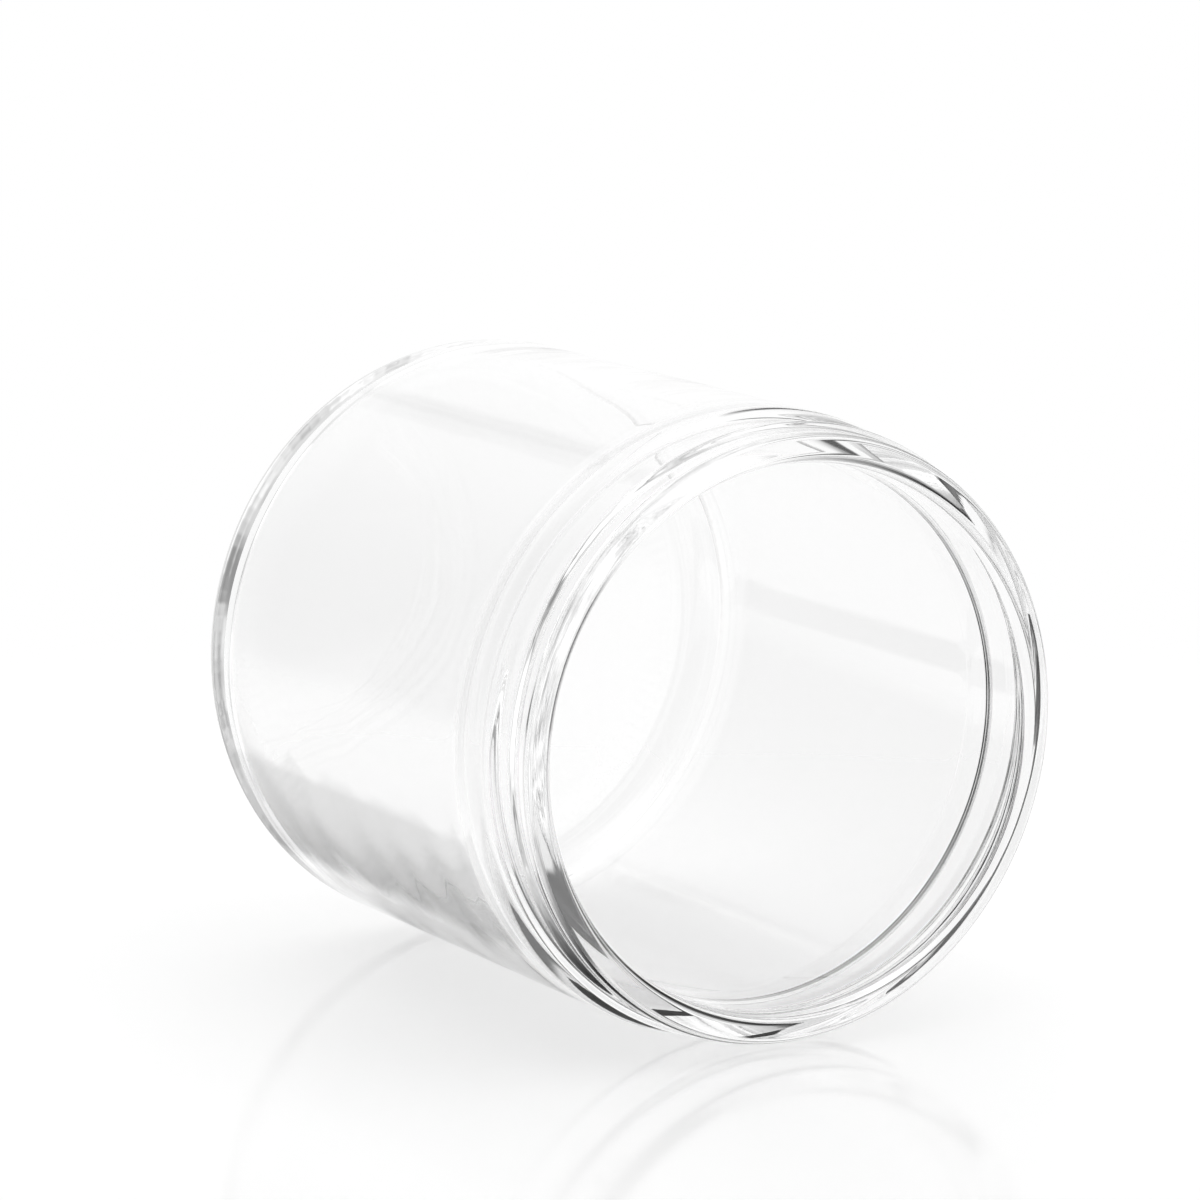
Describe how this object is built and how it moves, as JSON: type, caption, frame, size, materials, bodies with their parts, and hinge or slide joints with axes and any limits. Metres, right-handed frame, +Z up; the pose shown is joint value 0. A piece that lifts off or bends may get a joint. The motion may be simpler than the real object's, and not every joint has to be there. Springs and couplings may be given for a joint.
{
  "type": "candle jar",
  "caption": "Empty straight-sided round jar of clear glass with a thick base, a short screw-thread neck and an open mouth.",
  "frame": {"origin": "centre of the base, at the level of the flat ring that the jar stands on", "axes": "+Z up the jar's axis to the mouth; the thread starts next to the rim, 80 degrees from +X towards +Y, and comes down clockwise seen from above"},
  "size_m": [0.091, 0.091, 0.096],
  "materials": {
    "clear_glass": "clear, fire-polished"
  },
  "bodies": {
    "root": {"glass_jar": "clear_glass"}
  },
  "joints": []
}
